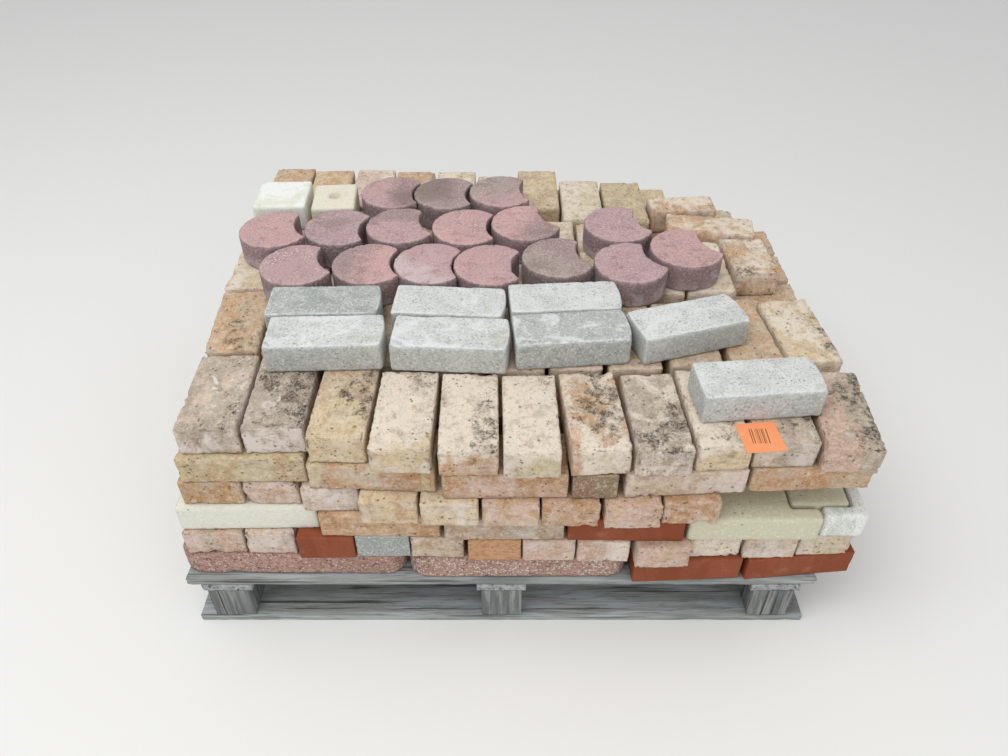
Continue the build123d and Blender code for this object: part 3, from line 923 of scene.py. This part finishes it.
def cast_one(piece, look, inputs, voxel, draw):
    """One piece that isn't a plain block: a remeshed and worn copy of its solid."""
    mesh = bpy.data.meshes.new("casting")
    mesh.from_pydata(piece.points, [], piece.faces)
    thing = linked("casting", mesh)
    remesh = thing.modifiers.new("fine", "REMESH")
    remesh.mode = "VOXEL"
    remesh.voxel_size = voxel
    wear_down(thing, casting_tree, {"Centre": piece.centre, "Size": piece.size,
                                    "Seed": draw.random(), "Wear": look.wear, **inputs})
    worn = plain_mesh(thing)
    for column, kind in look_columns.items():
        add_column(worn, column, kind, [getattr(look, column)] * len(worn.vertices))
    return linked("casting_worn", worn)


def cast_pieces(node, looks, material, seed, voxel):
    """The pieces of a node that aren't plain blocks, as one object."""
    draw = random.Random(seed)
    pieces = pieces_of(node, blocks=False)
    inputs = {"Chip Depth": 0.003, "Material": material}
    made = [cast_one(piece, look, inputs, voxel, draw)
            for piece, look in zip(pieces, looks(pieces, draw))]
    whole = made[0]
    if len(made) > 1:
        with bpy.context.temp_override(active_object=whole, selected_editable_objects=made):
            bpy.ops.object.join()
    whole.name = whole.data.name = node + "_worn"
    stand_for(whole, node)


block_tree = worn_block_tree()
casting_tree = worn_casting_tree()

# Looks, in the order of Look's inputs: the pieces that the front shows are given one by one

buff_pairs = [
    (cream, pink), (yellow, tan), (pink, rose),
    (tan, orange), (cream, yellow), (orange, tan),
    (pink, cream), (yellow, olive), (lilac, pink),
    (tan, brown),
]
level = (0, 0, 0)


def drawn_look(draw):
    first, second = draw.choice(buff_pairs)
    spot = (draw.uniform(-0.4, 0.4), draw.uniform(-0.4, 0.4), draw.uniform(-0.15, 0.3))
    return Look(first, second, draw.uniform(0.2, 1), draw.uniform(0.1, 0.8),
                draw.uniform(0.5, 1.1), soot_at=spot)


def in_rows(*rows):
    """Looks row by row: the line before which a row's pieces start, then looks from the left.

    Every piece draws a look, and keeps it where it is given none.
    """
    def looks(pieces, draw):
        named = {}
        left = list(pieces)
        for line, given in rows:
            row = [piece for piece in left if piece.front < line]
            left = [piece for piece in left if piece.front >= line]
            named.update((piece, Look(*look)) for piece, look in zip(row, given))
        return [named.get(piece, drawn_look(draw)) for piece in pieces]
    return looks


def from_the_front(*given):
    """A look for each piece of a node, the one nearest the front first."""
    def looks(pieces, draw):
        order = sorted(pieces, key=lambda piece: piece.front)
        return [Look(*given[order.index(piece)]) for piece in pieces]
    return looks


def in_turn(*given):
    """Looks for the pieces of a node from left to right, over and over."""
    def looks(pieces, draw):
        return [Look(*look) for piece, look in zip(pieces, itertools.cycle(given))]
    return looks


def slab_looks(pieces, draw):
    """Slabs show more grit the further right they lie."""
    return [Look(slab_pink, slab_brown, mortar=0.6 + 2 * piece.centre.x, wear=0.7,
                 corner=slab_corner) for piece in pieces]


# Courses 2 to 5 take darker tones than course 6: partly grime, partly painted shade for lying
# lower in the stack
course_2_front = [
    (rose, brown, 0.8, 0.6, 0.8, level, (-0.1, 0, 0.1)),
    (pink, lilac, 0.9, 1, 0.9, level, (-0.2, 0, 0.1)),
    (tan, brown, 0.5, 0.6, 0.9, level, (0.2, 0, 0)),
    (rose, pink, 0.3, 0.8, 0.8),
    (rose, cream, 0.3, 0.8, 0.8),
    (tan, rose, 0.6, 0.5, 0.9, level, (0, 0, 0.1)),
    (cream, pink, 0.4, 0.6, 0.8),
    (pink, lilac, 0.4, 0.9, 0.8),
    (tan, olive, 0.5, 0.7, 0.8),
]
course_3_front = [(amber, orange, 0.1, 0.1, 0.4), (brown, grey, 0.5, 0.5, 0.6)]
course_4_front = [
    (amber, tan, 0.3, 0.2, 0.5),
    (pink, rose, 0.8, 0.7, 0.9, level, (-0.1, 0, 0)),
    (lilac, pink, 0.3, 1.2, 0.8),
    (yellow, orange, 0.3, 0.5, 0.8),
    (yellow, cream, 0.3, 0.5, 0.7),
    (orange, rose, 0.3, 0.5, 0.7),
    (amber, rose, 0.4, 0.3, 0.7),
    (rose, orange, 0.4, 0.4, 0.9),
    (amber, rose, 0.5, 0.4, 0.9),
]
course_5_front = [
    (ochre, olive, 0.2, 0.2, 0.5), (amber, olive, 0.3, 0.4, 0.8),
    (amber, rose, 0.2, 0.3, 0.6), (moss_brown, clay_dark, 0.6, 0, 0.5),
    (pink, tan, 0.4, 0.7, 0.9), (amber, ochre, 0.2, 0.3, 0.6),
]
course_6_front = [
    (pink, grey, 1, 1.2, 0.7, (0, 0, 0.05), (0.5, -0.4, 0.16)),
    (grey, mortar_wash_and_light, 1.7, 1.1, 0.8, (0, -0.2, -0.3), (0.2, 0.1, 0.5)),
    (tan, yellow, 1.3, 0.3, 0.9, (0, -0.3, 0), (0.35, 0.15, 0.36)),
    (cream, yellow, 0.7, 0.7, 1.1, (0, -0.2, -0.3), (0.3, 0.5, 0.18)),
    (cream, orange, 1.2, 0.4, 0.8, (0, -0.1, -0.3), (0.25, -0.25, 0.28)),
    (cream, olive, 0.8, 0.6, 0.8, (0, 0, -0.4), (0.3, 0.3, 0.16)),
    (orange, cream, 1.2, 0.5, 0.8, (0, 0, 0.04), (0.2, 0.05, 0.34)),
    (grey, cream, 1.6, 0.6, 1, (0, 0, -0.04), (0.05, -0.45, 0.42)),
    (cream, yellow, 0.9, 0.2, 0.9, (0, -0.2, -0.6), (0.2, -0.2, 0.22)),
    (tan, grey, 1.4, 0.8, 0.9, (0.2, 0, 0), (0.3, 0.2, 0.38)),
    (rose, grey, 1.7, 0.2, 1.2, (0.3, 0, 0), (0.5, 0.05, 0.42)),
]
course_6_second = [
    (orange, tan, 1, 0.3, 0.8, level, (0.1, -0.25, 0.25)),
    *[(tan, pink, 0.6, 0.4, 0.8)] * 8,
    (orange, tan, 0.4, 0.3, 0.8),
    (cream, yellow, 1.2, 0.3, 0.9, level, (0.5, -0.1, 0.32)),
]
course_6_third = [
    *[(cream, yellow, 0.5, 0.3, 0.9)] * 18,
    (orange, cream, 0.4, 0.4, 1),
    (cream, orange, 1, 0.4, 1.2, level, (-0.3, -0.5, 0.25)),
]
course_6_back = [
    (orange, tan, 0.6, 0.3, 0.8), (orange, yellow, 0.5, 0.3, 0.9),
    (cream, pink, 0.4, 0.4, 0.8), (tan, orange, 0.5, 0.3, 0.9),
    (cream, yellow, 0.4, 0.4, 0.8), (grey, cream, 0.6, 0.5, 0.8),
    (yellow, tan, 0.7, 0.3, 0.8), (cream, lime, 0.5, 0.4, 0.8),
    (tan, olive, 0.8, 0.3, 0.9), (cream, orange, 0.5, 0.3, 1),
]
brick_rows = {
    2: [(front_row_line, course_2_front)],
    3: [(front_row_line, course_3_front)],
    4: [(front_row_line, course_4_front)],
    5: [(front_row_line, course_5_front)],
    6: [(front_row_line, course_6_front), (second_row_line, course_6_second),
        (back_row_line, course_6_third), (1, course_6_back)],
}

# How hard the kinds of piece are worn, in metres
reclaimed = {"Arris": 0.0036, "Chip Size": 0.0062, "Break Size": 0.013}
crisp = {"Arris": 0.0025, "Chip Size": 0.002, "Break Size": 0.004, "Warp": 0.0006,
         "Roughening": 0.0003}
rough_slab = {"Arris": 0.007, "Chip Size": 0.005, "Break Size": 0.01}
dense = {"Arris": 0.004, "Chip Size": 0.002, "Break Size": 0.003, "Warp": 0.0006,
         "Roughening": 0.0005}
dressed = {"Arris": 0.0054, "Chip Size": 0.003, "Break Size": 0.006, "Warp": 0.0008,
           "Roughening": 0.0006, "Bulge": paver_bulge}
plank = {"Arris": 0.0012, "Chip Size": 0.0025, "Break Size": 0.005, "Warp": 0.001,
         "Roughening": 0.0006}

brick = brick_surface()
smooth_brick = smooth_brick_surface()
combed_brick = combed_brick_surface()
firebrick = firebrick_surface()
concrete = paver_surface()
rose_concrete = crescent_surface()
speckled_concrete = corner_block_surface()
aggregate = slab_surface()
softwood = wood_surface()

# Each node draws from a seed of its own
for course, rows in brick_rows.items():
    lay_blocks(f"course_{course}_bricks", in_rows(*rows), reclaimed, brick,
               course, near=front_row_line)

red_look = (terracotta, terracotta_pale, 0.1, 0.6, 0.35)
combed_look = (combed_orange, combed_pale, 0.1, 0.1, 0.5)
paver_look = (paver_cloud, paver_cloud, 0, 0.1, 0.4)
for node, look, material, slot, seed in [
    ("course_1_smooth_bricks", red_look, smooth_brick, "red_brick", 10),
    ("course_2_smooth_brick", red_look, smooth_brick, "red_brick", 11),
    ("course_3_smooth_brick", red_look, smooth_brick, "red_brick", 12),
    ("course_2_striated_brick", combed_look, combed_brick, "striated_brick", 20),
    ("course_2_grey_paver", paver_look, concrete, "concrete", 21),
]:
    lay_blocks(node, in_turn(look), crisp, material, seed)
lay_blocks("course_1_aggregate_slabs", slab_looks, rough_slab, aggregate, 22,
           slab_grid, near=front_row_line)

white_look = (fire_white, fire_white, 0, 0.5, 0.9)
dark_corner_look = (chalk_white, fire_white, 0.8, 0.5, 0.8, level, (-0.48, 0.45, 0))
white_firebricks = {"course_3_white_firebrick": white_look, "white_half_firebrick": dark_corner_look}
for seed, (node, look) in enumerate(white_firebricks.items(), start=30):
    lay_blocks(node, in_turn(look), dense, firebrick, seed)
cream_look = (fire_cream, fire_cream, 0, 0.4, 0.5)
# The dimpled one's hollow gets painted shade
dimpled_look = (fire_yellow, fire_yellow, 1, 0.7, 0.9, level, (0, 0, 0.08))
corner_look = (block_white, chalk_white, 0, 0.6, 0.6)
for node, look, material, slot, seed, voxel in [
    ("course_3_cream_firebricks", cream_look, firebrick, "firebrick", 32, 0.003),
    ("cream_half_firebrick", dimpled_look, firebrick, "firebrick", 33, 0.0025),
    ("course_3_corner_block", corner_look, speckled_concrete, "concrete", 34, 0.003),
]:
    cast_pieces(node, in_turn(look), material, seed, voxel)

# Grey pavers: the front one of each pair first
scuffed = (paver_light, paver_pale, 0.7, 0.9, 0.6, level, (0.45, -0.3, 0.12))
speckled = (paver_cloud, paver_grey, 0.3, 0.2, 0.6, level, (0.4, 0, 0.05))
pale = (paver_pale, paver_light, 0.5, 0.6, 0.6, level, (0.45, -0.4, 0.08))
faded = (paver_grey, paver_grey, 0.3, 0.9, 0.6, level, (0.45, 0.2, 0.08))
for node, given, seed in [
    ("grey_paver_pair_left", (scuffed, speckled), 40),
    ("grey_paver_pair_middle", (scuffed, pale), 41),
    ("grey_paver_pair_right", (faded, pale), 42),
    ("grey_paver_single_back", (pale,), 45),
    ("grey_paver_single_front", (pale,), 46),
]:
    lay_blocks(node, from_the_front(*given), dressed, concrete, seed)

# Crescents: every row from left to right, the right group from the back one on
crescent_looks = {
    "crescent_pavers_back_row": [
        (dusty_rose, dusty_brown, 1, 0.4, 0.6, (0.9, 0, 0), (0.3, -0.2, 0.3)),
        (dusty_brown, dusty_olive, 1, 0.9, 0.6, level, (-0.2, 0.1, 0.4)),
        (dusty_rose, dusty_olive, 0.2, 0.5, 0.6, (-0.2, 0.6, 0))],
    "crescent_pavers_middle_row": [
        (dusty_pink, dusty_rose, 0.1, 0.5),
        (mauve, dusty_brown, 0.9, 0.6, 0.6, level, (0.05, 0.05, 0.12)),
        (dusty_rose, dusty_brown, 0.1, 0.4, 0.6, (-0.1, 1.2, 0)),
        (dusty_pink, dusty_rose, 0.1, 0.9, 0.6, (0.2, 0.2, 0)),
        (dusty_pink, dusty_brown, 0.1, 0.8, 0.6, (0.7, -0.2, 0))],
    "crescent_pavers_front_row": [
        (dusty_rose, mauve, 0.2, 1.3),
        (dusty_pink, dusty_brown, 0.2, 0.3, 0.6, (-0.8, 0.1, 0)),
        (dusty_rose, rose_dust, 0.1, 0.4, 0.6, (-0.3, -0.5, 0)),
        (dusty_rose, dusty_pink, 0.1, 0.3),
        (dusty_brown, dusty_olive, 0.9, 0.5, 0.6, (-0.6, -0.5, 0), (-0.3, -0.2, 0.2))],
    "crescent_pavers_right": [
        (dusty_rose, mauve, 0.1, 0.6), (mauve, dusty_rose, 0.1, 0.5),
        (dusty_rose, dusty_pink, 0.2, 0.4)],
}
for seed, (node, given) in enumerate(crescent_looks.items(), start=50):
    cast_pieces(node, in_turn(*given), rose_concrete, seed,
                crescent_voxel)

# The pallet: the grain of boards runs along them, and that of blocks upright
board_look = (wood_pale, wood_grey, 0.3, 0.3, 0.7, (1, 0, 0))
block_look = (wood_grey, wood_brown, 0.3, 0.3, 0.7, (0, 0, 1))
for seed, node in enumerate(sorted(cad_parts), start=100):
    if "board" in node:
        lay_blocks(node, in_turn(board_look), plank, softwood, seed, board_grid)
    elif node.startswith("pallet_block"):
        lay_blocks(node, in_turn(block_look), plank, softwood, seed, block_grid)


def paint(node, material):
    """Give a CAD node that is kept as it is a material."""
    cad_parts[node].data.materials.clear()
    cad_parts[node].data.materials.append(material)


# Cores are out of sight: plain brick colour is enough
plain = Surface("unseen_core", brown).finish(0.9)
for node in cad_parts:
    if node.endswith("_core"):
        paint(node, plain)
tag_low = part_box("paper_tag")[0]
paint("paper_tag", tag_surface(tag_low))

# Floor, light and camera
floor_mesh = bpy.data.meshes.new("floor")
floor_corners = [(x * floor_reach, y * floor_reach, 0)
                 for x, y in ((-1, -1), (1, -1), (1, 1), (-1, 1))]
floor_mesh.from_pydata(floor_corners, [], [(0, 1, 2, 3)])
floor_mesh.materials.append(Surface("pale_floor", floor_pale).finish(0.9))
floor = linked("floor", floor_mesh)

world = bpy.data.worlds.new("studio")
bpy.context.scene.world = world
world.use_nodes = True
sky = world.node_tree.nodes["Background"].inputs
sky["Color"].default_value = sky_tone
sky["Strength"].default_value = sky_strength


def lamp(name, place, power):
    """A soft square lamp that looks at the middle of the stack, with its power in watts."""
    light = bpy.data.lights.new(name, "AREA")
    light.size = 3
    light.energy = power
    thing = linked(name, light)
    thing.location = place
    aim = Vector((0, 0, 0.3)) - Vector(place)
    thing.rotation_euler = aim.to_track_quat("-Z", "Y").to_euler()


lamp("key", (-1.4, -1.2, 4.2), 92)
lamp("fill", (1.6, -3.4, 1.9), 26)

# The photograph's camera: focal length and width in its pixels, and degrees below level
focal_length = 800
picture_width = 1008
camera_dip = 40.8
bpy.context.scene.view_settings.view_transform = "Standard"
lens = bpy.data.cameras.new("camera")
lens.sensor_width = 36
lens.lens = lens.sensor_width * focal_length / picture_width
camera = linked("camera", lens)
camera.location = (0.005, -1.42, 1.44)
camera.rotation_euler = (math.radians(90 - camera_dip), 0, 0)
bpy.context.scene.camera = camera
